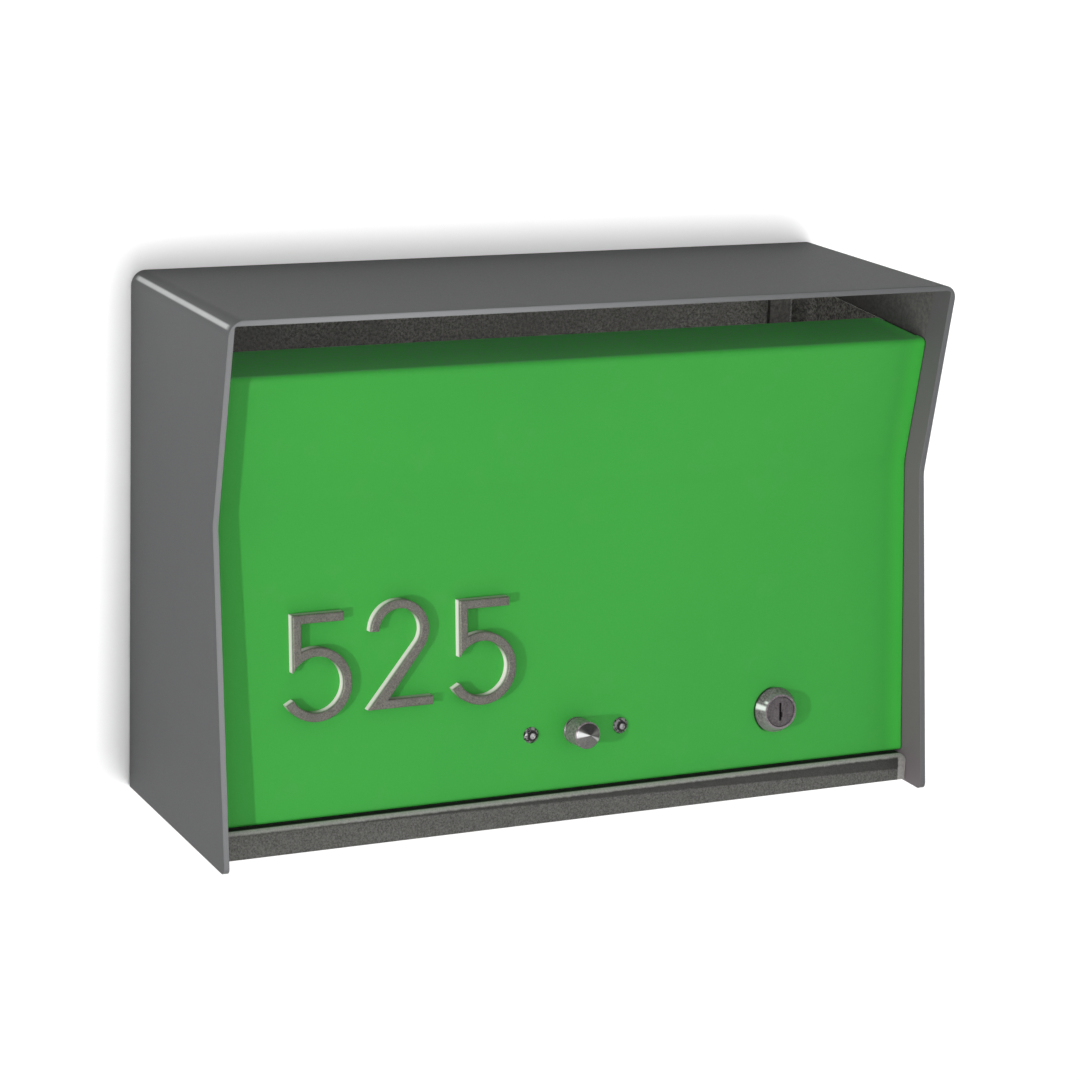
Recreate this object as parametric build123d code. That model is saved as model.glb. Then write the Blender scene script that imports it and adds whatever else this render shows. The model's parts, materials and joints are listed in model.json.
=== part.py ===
from build123d import *
import math
import os

# Wall mounted mailbox: a folded steel casing with a drop-in slot under its hood, a top-hung
# folded door with a fixed pull knob and a cam lock, and metal house numbers.
#
# Frame, in millimetres: the origin is the centre of the wall bolt pattern on the wall plane.
# +X is to the right as seen from the front, +Y goes into the wall, +Z is up.

# --- driving dimensions -------------------------------------------------------------------

WIDTH = 387.0
HEIGHT = 266.0
HALF_WIDTH = WIDTH / 2
TOP = HEIGHT / 2
BOTTOM = -HEIGHT / 2

# Back panel, flat on the wall
PANEL = 1.5
PANEL_MARGIN = 1.0
PANEL_CORNER = 9.0
BACK = -PANEL

# Casing: one sheet folded over the top and down both sides, with flanges at the back
PLATE = 2.8
FOLD_RADIUS = 7.5
INNER_FOLD_RADIUS = 1.2
REAR_FLANGE = 28.7
TOP_FLANGE_DROP = 22.0
HOOD_DEPTH = 140.75
WAIST_DEPTH = 120.7
FOOT_DEPTH = 141.5
WAIST_HEIGHT = 165.2
WAIST_RADIUS = 14.0
FOOT_RADIUS = 3.2
HOOD_TIP_RADIUS = 0.8

# Wall screws and rivets
WALL_SPACING_X = 254.0
WALL_SPACING_Z = 127.0
WALL_HOLE_RADIUS = 3.2
RIVET_RADIUS = 1.6
RIVET_HEAD_RADIUS = 2.9
RIVET_HEAD = 1.1
RIVET_PLAY = 0.05

# Side liners, from the wall to just behind the hinge line
LINER = 1.0
LINER_GAP = 0.1
LINER_RADIUS = 7.5
LINER_FLANGE = 13.4
LINER_DEPTH = 79.0
LINER_CORNER = 2.0

# Sloping rim, on which the liners' top edges and the door's top flange lie
RIM_REAR = 242.6
RIM_SLOPE = 0.066

# Bottom pan with its rolled front lip and the strike behind it
PAN = 1.2
PAN_HALF_WIDTH = 190.2
PAN_BASE = 1.2
LIP_TOP = 14.9
LIP_FACE_DEPTH = 126.0
LIP_ROLL_RADIUS = 4.0
LIP_END_RADIUS = 3.0
STRIKE_DEPTH = 111.2
STRIKE_TOP = 28.0
STRIKE_END_GAP = 6.0
STRIKE_CORNER = 4.0
PAN_SIDE_REAR = 82.0
PAN_CORNER_CUT = 12.0
PAN_FLANGE_END = 175.3
DRAIN_RADIUS = 3.0

# Door: heights above the bottom of the casing, depths in front of its back
DOOR = 1.5
DOOR_HALF_WIDTH = 190.2
DOOR_FOOT_HEIGHT = 15.5
DOOR_FOOT_DEPTH = 120.75
DOOR_KINK_HEIGHT = 168.3
DOOR_KINK_DEPTH = 106.5
DOOR_TOP_DEPTH = 119.9
DOOR_FLANGE_HALF_WIDTH = 189.0
DOOR_FLANGE_REAR_DEPTH = 72.0
DOOR_FLANGE_DROP = 6.0
DOOR_FLANGE_NOTCH_DEPTH = 111.5
DOOR_FOOT_RETURN = 6.0
DOOR_SIDE_RETURN = 7.0
DOOR_FOLD_RADIUS = 3.0
DOOR_FOOT_RADIUS = 1.8
DOOR_KINK_RADIUS = 24.0

# Door hinge, on two short pins
PIVOT_DEPTH = 104.0
PIVOT_HEIGHT = 222.0
PIN_RADIUS = 3.0
PIN_END = 177.5
PIN_COLLAR_RADIUS = 5.5
PIN_COLLAR = 4.2
PIN_SEAT = 1.4
BUSH_PLAY = 0.05
BUSH_RADIUS = 4.2
BUSH_FLANGE_RADIUS = 5.5
BUSH_FLANGE = 1.2
ARM = 2.0
ARM_OUTER = 185.0
ARM_FOOT = 20.0
ARM_LOW = 193.0
ARM_HIGH = 228.0
ARM_EAR_RADIUS = 8.5
CLIP = 0.8
CLIP_RADIUS = 5.4
CLIP_GROOVE_RADIUS = 2.4

# Pull knob and its two bracket screws, in one row across the lower door face
KNOB_X = 0.6
KNOB_ROW_HEIGHT = 45.2
KNOB_RADIUS = 6.85
KNOB_LENGTH = 17.0
KNOB_CONE = 3.0
KNOB_EDGE = 0.6
KNOB_SCREW_RADIUS = 2.0
BRACKET_SCREW_PITCH = 49.6
BUTTON_RADIUS = 4.2
BUTTON_HEIGHT = 2.4
SOCKET_FLATS = 2.5
BRACKET_WIDTH = 66.0
BRACKET_HEIGHT = 16.0
BRACKET = 1.5

# Cam lock
LOCK_X = 114.3
LOCK_HEIGHT = 44.6
BEZEL_RADIUS = 11.6
BEZEL_FRONT_RADIUS = 9.0
BEZEL_HEIGHT = 6.3
BEZEL_BASE = 0.8
BARREL_RADIUS = 9.4
BARREL_LENGTH = 13.0
BARREL_FLATS = 16.0
PLUG_FACE_RADIUS = 7.9
PLUG_FACE_DEPTH = 3.0
PLUG_RADIUS = 6.0
PLUG_PLAY = 0.06
KEY_SLOT_LENGTH = 9.6
KEY_SLOT_WIDTH = 1.5
KEY_SLOT_DEPTH = 6.0
CAM = 2.0
CAM_REACH = 32.0
CAM_HALF_WIDTH = 6.0
LOCK_NUT = 3.5
LOCK_NUT_FLATS = 24.0

# House numbers
STUD_INSET_FIVE = 8.0
STUD_INSET_TWO = 12.0
STROKE = 4.4
NUMBER_DEPTH = 5.8
NUMBER_EDGE = 0.9
FIVE_LEFT = -151.5
FIVE_TOP = 116.9
FIVE_BAR = 26.5
FIVE_BOWL_RADIUS = 18.1
FIVE_BOWL_X = 12.1
FIVE_BOWL_HEIGHT = 82.4
FIVE_MOUTH = (152, 210)
FIVE_PITCH = 87.0
TWO_X = -96.0
TWO_CENTRE_HEIGHT = 105.0
TWO_RADIUS = 15.3
TWO_FOOT = 67.2
TWO_BAR_RIGHT = -79.0
TWO_SLOPE = 50.5
TWO_SLANT_FOOT = 7.2
STUD_RADIUS = 1.5
STUD_LENGTH = 6.5

# Soft stops and the magnetic catch, on the front of the strike
BUMPER_X = 150.0
BUMPER_RADIUS = 4.0
BUMPER_LENGTH = 6.6
CATCH_WIDTH = 36.0
CATCH_HEIGHT = 7.5
STOP_HEIGHT = 23.2


# --- helpers --------------------------------------------------------------------------------


def depth(value):
    """Y of a point that lies so far in front of the casing's back."""
    return BACK - value


def level(value):
    """Z of a point that lies so far above the casing's bottom."""
    return BOTTOM + value


def profile_points(pairs):
    """(depth, height) pairs as (Y, Z) points."""
    return [(depth(d), level(h)) for d, h in pairs]


def folded(points, radii, thickness, side, plane, half_length):
    """A sheet folded along a path drawn in a plane, as wide as twice half_length."""
    path = FilletPolyline(*points, radius=radii)
    section = make_face(offset(path, amount=thickness, side=side).edges())
    return extrude(plane * section, amount=half_length, both=True)


def filled(points, radii, half_width):
    """A solid whose YZ outline is a rounded path closed by a straight line."""
    path = FilletPolyline(*points, radius=radii)
    outline = make_face(path.edges() + [Edge.make_line(path @ 1, path @ 0)])
    return extrude(Plane.YZ * outline, amount=half_width, both=True)


def block(low, high):
    """A box between two corners."""
    size = [b - a for a, b in zip(low, high)]
    return Pos(*low) * Box(*size, align=(Align.MIN, Align.MIN, Align.MIN))


def rod(start, end, radius):
    """A round rod along X, from start to end, both (x, y, z)."""
    length = end[0] - start[0]
    place = Plane(origin=start, z_dir=(math.copysign(1, length), 0, 0))
    return place * Cylinder(radius, abs(length), align=(Align.CENTER, Align.CENTER, Align.MIN))


def mirrored(shape):
    """The same shape on the other side of the box."""
    return mirror(shape, about=Plane.YZ)


def group(shapes):
    """Separate solids kept as one node."""
    return Compound(children=[solid for shape in shapes for solid in shape.solids()])


def save(name, shape):
    """Write one node, as a plain solid where it is one."""
    solids = shape.solids()
    body = solids[0] if len(solids) == 1 else Compound(children=list(solids))
    export_step(body, f"parts/{name}.step")


# --- the door's lower face, which carries the numbers, knob and lock --------------------------

FACE_LEAN = (DOOR_FOOT_DEPTH - DOOR_KINK_DEPTH) / (DOOR_KINK_HEIGHT - DOOR_FOOT_HEIGHT)


def face_depth(height):
    """Depth of the lower door face at a height."""
    return DOOR_FOOT_DEPTH - FACE_LEAN * (height - DOOR_FOOT_HEIGHT)


def face_plane(x, height, out=0.0):
    """A plane on the lower door face, its Z pointing out of the door, moved out by a distance."""
    origin = (x, depth(face_depth(height)), level(height))
    return Plane(origin=origin, x_dir=(1, 0, 0), z_dir=(0, -1, FACE_LEAN)).offset(out)


def on_face(shape, x, height, out=0.0):
    """Stand a shape, drawn along +Z, on the lower door face."""
    return face_plane(x, height, out) * shape


def turned(radius, length):
    """A disc or shaft that stands on its own base."""
    return Cylinder(radius, length, align=(Align.CENTER, Align.CENTER, Align.MIN))


def hexagon(flats, length):
    """A hexagonal bar that stands on its own base."""
    return extrude(RegularPolygon(flats / 2, 6, major_radius=False), amount=length)


# --- casing -----------------------------------------------------------------------------------

SIDE_OUTLINE = [(0, 0), (FOOT_DEPTH, 0), (WAIST_DEPTH, WAIST_HEIGHT), (HOOD_DEPTH, HEIGHT), (0, HEIGHT)]
SIDE_RADII = [FOOT_RADIUS, WAIST_RADIUS, HOOD_TIP_RADIUS]


def rim_height(value):
    """Height of the sloping rim at a depth."""
    return RIM_REAR - RIM_SLOPE * value


def rivet_places():
    """(x, z, flange thickness) of every rivet on the right half and the middle."""
    liner_x = HALF_WIDTH - PLATE - LINER_GAP - LINER_FLANGE + RIVET_HEAD_RADIUS + 0.1
    liner_stack = PLATE + LINER
    liner = [(liner_x, level(h), liner_stack) for h in (40.0, 100.0, 160.0, 220.0)]
    top = [(x, TOP - TOP_FLANGE_DROP + 7.0, PLATE) for x in (0.0, 120.0)]
    pan = [(HALF_WIDTH - REAR_FLANGE + 5.5, level(9.0), PLATE + PAN)]
    return liner, top, pan


def rivet_holes():
    """Drills for every rivet through the back panel and what it holds."""
    radius = RIVET_RADIUS + RIVET_PLAY
    drill = Plane.XZ * Cylinder(radius, 30.0)
    places = [place for kind in rivet_places() for place in kind]
    return group(Pos(x * side, 0, z) * drill for x, z, _ in places for side in (-1, 1))


def rivets(places, sides):
    """Domed rivets whose shanks end flush with the wall side of the back panel."""
    made = []
    for x, z, stack in places:
        for side in sides if x else (1,):
            shank = turned(RIVET_RADIUS, PANEL + stack)
            dome = Pos(0, 0, PANEL + stack) * turned(RIVET_HEAD_RADIUS, RIVET_HEAD)
            dome = fillet(dome.edges().sort_by(Axis.Z)[-1], RIVET_HEAD * 0.8)
            made.append(Pos(x * side, 0, z) * (Plane.XZ * (shank + dome)))
    return group(made)


def casing_block(margin, radius):
    """Outside of the casing, or the space inside it, before it is cut to the side outline."""
    x = HALF_WIDTH - margin
    body = block((-x, depth(FOOT_DEPTH + 5), BOTTOM - 2 * margin), (x, BACK + margin, TOP - margin))
    return fillet(body.edges().filter_by(Axis.Y).group_by(Axis.Z)[-1], radius)


def rear_flange():
    """Flange along the wall, down both sides and under the top."""
    x = HALF_WIDTH - PLATE / 2
    inner = HALF_WIDTH - REAR_FLANGE
    frame = block((-x, BACK - PLATE, BOTTOM), (x, BACK, TOP - PLATE / 2))
    frame = fillet(frame.edges().filter_by(Axis.Y).group_by(Axis.Z)[-1], FOLD_RADIUS - PLATE / 2)
    return frame - block((-inner, -20, BOTTOM - 1), (inner, 5, TOP - TOP_FLANGE_DROP))


def pin_seats():
    """Blind holes for the hinge pins in the casing's inner faces."""
    face = casing_face()
    seat = rod((face - 1, *pivot()), (face + PIN_SEAT + 0.05, *pivot()), PIN_RADIUS + BUSH_PLAY)
    return group([seat, mirrored(seat)])


def outer_casing():
    """Hood and both sides in one folded sheet, cut to the side outline, with its rear flange."""
    sheet = casing_block(0, FOLD_RADIUS) - casing_block(PLATE, INNER_FOLD_RADIUS)
    shell = sheet & filled(profile_points(SIDE_OUTLINE), SIDE_RADII, HALF_WIDTH + 5)
    return shell + rear_flange() - rivet_holes() - pin_seats()


def back_panel():
    """Flat panel on the wall, with four screw holes."""
    width = WIDTH - 2 * PANEL_MARGIN
    height = HEIGHT - 2 * PANEL_MARGIN
    sheet = extrude(Plane.XZ * RectangleRounded(width, height, PANEL_CORNER), amount=PANEL)
    for x in (-WALL_SPACING_X / 2, WALL_SPACING_X / 2):
        for z in (-WALL_SPACING_Z / 2, WALL_SPACING_Z / 2):
            sheet = sheet - Pos(x, 0, z) * (Plane.XZ * Cylinder(WALL_HOLE_RADIUS, 10))
    return sheet - rivet_holes()


def inner_liner():
    """Right side liner with a sloping top edge, its flange riveted to the casing's rear flange."""
    x = HALF_WIDTH - PLATE - LINER_GAP
    wall = BACK - PLATE
    points = [(x, depth(LINER_DEPTH + 5)), (x, wall), (x - LINER_FLANGE, wall)]
    strip = folded(points, [LINER_RADIUS], LINER, Side.LEFT, Plane.XY, HEIGHT / 2)
    low = PAN_BASE + PAN + 0.4
    outline = [(0, low), (LINER_DEPTH, low), (LINER_DEPTH, rim_height(LINER_DEPTH)), (0, RIM_REAR)]
    keep = filled(profile_points(outline), [LINER_CORNER] * 2, HALF_WIDTH + 5)
    return (strip & keep) - rivet_holes()


def pan_shell(margin):
    """The pan's outside, or its inside when drawn in by a margin: front edge rolled, top ends rounded."""
    x = PAN_HALF_WIDTH - margin
    low = (-x, depth(LIP_FACE_DEPTH) + margin, level(PAN_BASE) + margin)
    high = (x, BACK - PLATE - margin, level(LIP_TOP) - margin)
    rolled = block(low, high)
    front_edge = rolled.edges().filter_by(Axis.X).group_by(Axis.Z)[-1].sort_by(Axis.Y)[0]
    rolled = fillet(front_edge, LIP_ROLL_RADIUS - margin)
    ended = block(low, high)
    ended = fillet(ended.edges().filter_by(Axis.Y).group_by(Axis.Z)[-1], LIP_END_RADIUS - margin)
    return rolled & ended


def outer_strip(inner_x, rear_depth, height):
    """Space above a height, outside an X and behind a depth, at both ends of the pan."""
    strip = block((inner_x, depth(rear_depth), level(height)), (HALF_WIDTH + 5, 5, TOP))
    return group([strip, mirrored(strip)])


def bottom_pan():
    """Pan under the box: rolled lip in front, strike behind it, low flanges at the sides and rear."""
    strike = depth(STRIKE_DEPTH)
    shell = pan_shell(0) - pan_shell(PAN)
    inner = PAN_HALF_WIDTH - PAN
    opening = block((-inner, strike + 0.1, level(LIP_TOP) - PAN - 1), (inner, 5, TOP))
    end = inner - STRIKE_END_GAP
    strike_wall = block((-end, strike, level(LIP_TOP) - PAN), (end, strike + PAN, level(STRIKE_TOP)))
    strike_wall = fillet(strike_wall.edges().filter_by(Axis.Y).group_by(Axis.Z)[-1], STRIKE_CORNER)
    body = (shell - opening) + strike_wall
    body = body - outer_strip(PAN_FLANGE_END, PAN_SIDE_REAR, PAN_BASE + PAN + 0.001)
    body = body - outer_strip(HALF_WIDTH - PAN_CORNER_CUT, PAN_CORNER_CUT, 0)
    for x in (-120, -40, 40, 120):
        for d in (25, 95):
            body = body - Pos(x, depth(d), level(PAN_BASE)) * Cylinder(DRAIN_RADIUS, 6)
    return body - rivet_holes()


def bumper():
    """Rubber stop for the door, on the right of the strike."""
    pad = Plane.XZ * turned(BUMPER_RADIUS, BUMPER_LENGTH)
    pad = fillet(pad.edges().group_by(Axis.Y)[0], 1.0)
    return Pos(BUMPER_X, depth(STRIKE_DEPTH), level(STOP_HEIGHT)) * pad


def magnetic_catch():
    """Plastic catch housing on the strike."""
    length = BUMPER_LENGTH - 0.6
    front = depth(STRIKE_DEPTH) - length
    low = (-CATCH_WIDTH / 2, front, level(STOP_HEIGHT) - CATCH_HEIGHT / 2)
    high = (CATCH_WIDTH / 2, depth(STRIKE_DEPTH), level(STOP_HEIGHT) + CATCH_HEIGHT / 2)
    case = block(low, high)
    case = fillet(case.edges().filter_by(Axis.Y), 1.5)
    for z in (-1.6, 1.6):
        case = case - catch_plate(z, 0.0)
    return case


def catch_plate(z, play):
    """One steel pole plate in the face of the catch."""
    length = BUMPER_LENGTH - 0.6
    front = depth(STRIKE_DEPTH) - length
    middle = level(STOP_HEIGHT) + z
    low = (-CATCH_WIDTH / 2 + 4 + play, front - 0.3, middle - 0.6 + play)
    high = (CATCH_WIDTH / 2 - 4 - play, front + 4, middle + 0.6 - play)
    return block(low, high)


# --- hinge ------------------------------------------------------------------------------------


def pivot():
    """(Y, Z) of the hinge line."""
    return depth(PIVOT_DEPTH), level(PIVOT_HEIGHT)


def casing_face():
    """X of the casing's right inner face."""
    return HALF_WIDTH - PLATE


def hinge_pin():
    """Right hinge pin: seated in the casing, with a collar and a groove for its clip."""
    face = casing_face()
    shaft = rod((face + PIN_SEAT, *pivot()), (PIN_END, *pivot()), PIN_RADIUS)
    shaft = chamfer(shaft.edges().sort_by(Axis.X)[0], 0.6)
    collar = rod((face, *pivot()), (face - PIN_COLLAR, *pivot()), PIN_COLLAR_RADIUS)
    start = clip_start()
    ring = rod((start, *pivot()), (start + CLIP, *pivot()), PIN_RADIUS + 1)
    ring = ring - rod((start - 1, *pivot()), (start + CLIP + 1, *pivot()), CLIP_GROOVE_RADIUS)
    return shaft + collar - ring


def clip_start():
    """X of the inner face of the right retaining clip."""
    return ARM_OUTER - ARM - 1.0 - 0.3 - CLIP


def hinge_clip():
    """Open retaining ring in the groove of the right pin."""
    start = clip_start() + 0.03
    thick = CLIP - 0.06
    ring = rod((start, *pivot()), (start + thick, *pivot()), CLIP_RADIUS)
    ring = ring - rod((start - 1, *pivot()), (start + 2, *pivot()), CLIP_GROOVE_RADIUS + 0.03)
    y, z = pivot()
    mouth = block((start - 1, y - 2.0, z - 10), (start + 2, y + 2.0, z))
    lightening = [
        rod((start - 1, y + dy, z + dz), (start + 2, y + dy, z + dz), 0.9)
        for dy, dz in ((-3.4, 2.4), (3.4, 2.4))
    ]
    for hole in lightening:
        ring = ring - hole
    return ring - mouth


def hinge_bushing():
    """Flanged nylon bushing in the right hinge arm."""
    outer = ARM_OUTER
    barrel = rod((outer - ARM - 1.0, *pivot()), (outer, *pivot()), BUSH_RADIUS - 0.02)
    flange = rod((outer, *pivot()), (outer + BUSH_FLANGE, *pivot()), BUSH_FLANGE_RADIUS)
    bore = rod((outer - 10, *pivot()), (outer + 10, *pivot()), PIN_RADIUS + BUSH_PLAY)
    return barrel + flange - bore


def upper_depth(height):
    """Depth of the upper door face at a height."""
    rise = (DOOR_TOP_DEPTH - DOOR_KINK_DEPTH) / (rim_height(DOOR_TOP_DEPTH) - DOOR_KINK_HEIGHT)
    return DOOR_KINK_DEPTH + rise * (height - DOOR_KINK_HEIGHT)


def hinge_arm():
    """Right hinge bracket: foot on the inside of the upper door face, ear around the pivot."""
    skin = DOOR * 1.03
    low_front = (upper_depth(ARM_LOW) - skin, ARM_LOW)
    high_front = (upper_depth(ARM_HIGH) - skin, ARM_HIGH)
    low_rear = (PIVOT_DEPTH - ARM_EAR_RADIUS, PIVOT_HEIGHT)
    high_rear = (PIVOT_DEPTH, PIVOT_HEIGHT + ARM_EAR_RADIUS)
    outline = [low_front, high_front, high_rear, low_rear]
    ear = make_face(Polyline(*profile_points(outline), close=True))
    ear = ear + Pos(*pivot()) * Circle(ARM_EAR_RADIUS)
    web = Pos(ARM_OUTER - ARM, 0, 0) * extrude(Plane.YZ * ear, amount=ARM)
    foot_outline = [
        low_front,
        high_front,
        (high_front[0] - ARM, ARM_HIGH),
        (low_front[0] - ARM, ARM_LOW),
    ]
    foot = make_face(Polyline(*profile_points(foot_outline), close=True))
    foot = Pos(ARM_OUTER - ARM_FOOT, 0, 0) * extrude(Plane.YZ * foot, amount=ARM_FOOT)
    bore = rod((ARM_OUTER - 10, *pivot()), (ARM_OUTER + 10, *pivot()), BUSH_RADIUS)
    return web + foot - bore


# --- door -------------------------------------------------------------------------------------

DOOR_OUTLINE = [
    (DOOR_FOOT_DEPTH - DOOR_FOOT_RETURN, DOOR_FOOT_HEIGHT),
    (DOOR_FOOT_DEPTH, DOOR_FOOT_HEIGHT),
    (DOOR_KINK_DEPTH, DOOR_KINK_HEIGHT),
    (DOOR_TOP_DEPTH, rim_height(DOOR_TOP_DEPTH)),
    (DOOR_FLANGE_REAR_DEPTH, rim_height(DOOR_FLANGE_REAR_DEPTH)),
    (DOOR_FLANGE_REAR_DEPTH, rim_height(DOOR_FLANGE_REAR_DEPTH) - DOOR_FLANGE_DROP),
]
DOOR_RADII = [DOOR_FOOT_RADIUS, DOOR_KINK_RADIUS, DOOR_FOLD_RADIUS, 2.0]


def door_side_return():
    """The right side's narrow stiffening fold, along both front faces."""
    front = DOOR_OUTLINE[1:4]
    back = [(d - DOOR_SIDE_RETURN, h) for d, h in reversed(front)]
    strip = make_face(Polyline(*profile_points(front + back), close=True))
    strip = Pos(DOOR_HALF_WIDTH - DOOR, 0, 0) * extrude(Plane.YZ * strip, amount=DOOR)
    return strip & filled(profile_points(DOOR_OUTLINE), DOOR_RADII, HALF_WIDTH)


def stud_places():
    """(x, height) of the studs that hold the numbers: two behind each."""
    stroke = FIVE_LEFT + STROKE / 2
    bowl = FIVE_LEFT + FIVE_BOWL_X
    bowl_foot = FIVE_BOWL_HEIGHT - FIVE_BOWL_RADIUS + STROKE / 2
    five = [(stroke, FIVE_TOP - STUD_INSET_FIVE), (bowl, bowl_foot)]
    crown = (TWO_X, TWO_CENTRE_HEIGHT + TWO_RADIUS - STROKE / 2)
    two = [crown, (TWO_BAR_RIGHT - STUD_INSET_TWO, TWO_FOOT + STROKE / 2)]
    second = [(x + FIVE_PITCH, h) for x, h in five]
    return five, two, second


def bracket_places():
    """X of the two bracket screws."""
    return KNOB_X - BRACKET_SCREW_PITCH / 2, KNOB_X + BRACKET_SCREW_PITCH / 2


def face_holes():
    """Every hole through the lower door face."""
    drill = Cylinder(STUD_RADIUS + 0.1, 12)
    holes = [on_face(drill, x, h) for places in stud_places() for x, h in places]
    for x in (KNOB_X, *bracket_places()):
        holes.append(on_face(Cylinder(KNOB_SCREW_RADIUS + 0.1, 12), x, KNOB_ROW_HEIGHT))
    holes.append(on_face(Cylinder(BARREL_RADIUS + 0.1, 12), LOCK_X, LOCK_HEIGHT))
    return holes


def door_panel():
    """Door in one folded sheet: two front faces, a flange on top and narrow returns."""
    half = DOOR_HALF_WIDTH
    sheet = folded(profile_points(DOOR_OUTLINE), DOOR_RADII, DOOR, Side.RIGHT, Plane.YZ, half)
    notch = block(
        (DOOR_FLANGE_HALF_WIDTH, depth(DOOR_FLANGE_NOTCH_DEPTH), level(PIVOT_HEIGHT)),
        (HALF_WIDTH, BACK, TOP),
    )
    returns = door_side_return()
    body = sheet - notch - mirrored(notch) + returns + mirrored(returns)
    for hole in face_holes():
        body = body - hole
    return body


# --- pull knob and its bracket -------------------------------------------------------------------


def pull_knob():
    """Turned pull knob with a shallow conical front and a fine groove near its base."""
    straight = KNOB_LENGTH - KNOB_CONE
    knob = turned(KNOB_RADIUS, straight)
    knob = chamfer(knob.edges().sort_by(Axis.Z)[-1], KNOB_EDGE)
    cone = Cone(KNOB_RADIUS - KNOB_EDGE, 0.4, KNOB_CONE, align=(Align.CENTER, Align.CENTER, Align.MIN))
    knob = knob + Pos(0, 0, straight) * cone
    groove = Pos(0, 0, 1.2) * (turned(KNOB_RADIUS + 1, 0.7) - turned(KNOB_RADIUS - 0.5, 0.7))
    return on_face(knob - groove - turned(KNOB_SCREW_RADIUS, 8), KNOB_X, KNOB_ROW_HEIGHT)


def knob_screw():
    """Screw from inside the door that holds the knob."""
    behind = DOOR + BRACKET
    shank = Pos(0, 0, -behind) * turned(KNOB_SCREW_RADIUS - 0.05, behind + 7.5)
    head = Pos(0, 0, -behind - 2.6) * turned(3.8, 2.6)
    head = fillet(head.edges().sort_by(Axis.Z)[0], 1.2)
    drive = Pos(0, 0, -behind - 2.7) * hexagon(SOCKET_FLATS, 1.6)
    return on_face(shank + head - drive, KNOB_X, KNOB_ROW_HEIGHT)


def bracket_plate():
    """Backing plate that stiffens the door behind the knob."""
    plate = extrude(RectangleRounded(BRACKET_WIDTH, BRACKET_HEIGHT, 4.0), amount=BRACKET)
    for x in (-BRACKET_SCREW_PITCH / 2, 0, BRACKET_SCREW_PITCH / 2):
        plate = plate - Pos(x, 0, 0) * Cylinder(KNOB_SCREW_RADIUS + 0.1, 10)
    return on_face(plate, KNOB_X, KNOB_ROW_HEIGHT, -DOOR - BRACKET)


def bracket_screws():
    """Two button head screws beside the knob."""
    radius = (BUTTON_RADIUS**2 + BUTTON_HEIGHT**2) / (2 * BUTTON_HEIGHT)
    dome = Pos(0, 0, BUTTON_HEIGHT - radius) * Sphere(radius)
    head = dome & turned(BUTTON_RADIUS, BUTTON_HEIGHT)
    head = head - Pos(0, 0, BUTTON_HEIGHT - 1.5) * hexagon(SOCKET_FLATS, 3)
    shank = Pos(0, 0, -8.0) * turned(KNOB_SCREW_RADIUS - 0.05, 8.0)
    screw = head + shank
    return group(on_face(screw, x, KNOB_ROW_HEIGHT) for x in bracket_places())


def nut(flats, height, bore):
    """A hexagon nut with chamfered corners that stands on its own base."""
    corner = flats / math.sqrt(3)
    bevel = height / 4
    straight = hexagon(flats, height - bevel)
    cone = Cone(corner, corner - 1.6 * bevel, bevel, align=(Align.CENTER, Align.CENTER, Align.MIN))
    top = (Pos(0, 0, height - bevel) * cone) & hexagon(flats, height)
    return straight + top - Cylinder(bore, 4 * height)


def nut_behind(x, height, flats, thickness, bore, behind):
    """A nut against the back of the door, or of what lies behind it."""
    plane = Plane(origin=(0, 0, 0), x_dir=(1, 0, 0), z_dir=(0, 0, -1))
    return on_face(plane * nut(flats, thickness, bore), x, height, -behind)


def bracket_nuts():
    """Nuts of the two bracket screws."""
    return group(
        nut_behind(x, KNOB_ROW_HEIGHT, 7.0, 3.2, KNOB_SCREW_RADIUS, DOOR + BRACKET)
        for x in bracket_places()
    )


# --- cam lock ------------------------------------------------------------------------------------


def lock_housing():
    """Bezel in front of the door, and the barrel with two flats behind it."""
    standing = (Align.CENTER, Align.CENTER, Align.MIN)
    cone = Cone(BEZEL_RADIUS, BEZEL_FRONT_RADIUS, BEZEL_HEIGHT - BEZEL_BASE, align=standing)
    bezel = turned(BEZEL_RADIUS, BEZEL_BASE) + Pos(0, 0, BEZEL_BASE) * cone
    barrel = Pos(0, 0, -BARREL_LENGTH) * turned(BARREL_RADIUS, BARREL_LENGTH)
    flats = Pos(0, 0, -BARREL_LENGTH / 2) * Box(BARREL_FLATS, 40, BARREL_LENGTH)
    housing = bezel + (barrel & flats)
    recess = Pos(0, 0, BEZEL_HEIGHT - PLUG_FACE_DEPTH) * turned(PLUG_FACE_RADIUS + PLUG_PLAY, 10)
    bore = Cylinder(PLUG_RADIUS + PLUG_PLAY, 80)
    return on_face(housing - recess - bore, LOCK_X, LOCK_HEIGHT)


def lock_nut():
    """Large nut that clamps the lock to the door."""
    return nut_behind(LOCK_X, LOCK_HEIGHT, LOCK_NUT_FLATS, LOCK_NUT, BARREL_RADIUS + 0.05, DOOR)


def key_slot():
    """Upright keyway with a small side step, open to the front."""
    step = Pos(KEY_SLOT_WIDTH * 0.45, -KEY_SLOT_LENGTH * 0.18)
    slot = Rectangle(KEY_SLOT_WIDTH, KEY_SLOT_LENGTH)
    shape = slot + step * Rectangle(KEY_SLOT_WIDTH, KEY_SLOT_LENGTH * 0.3)
    return Pos(0, 0, BEZEL_HEIGHT - KEY_SLOT_DEPTH) * extrude(shape, amount=KEY_SLOT_DEPTH + 2)


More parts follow.
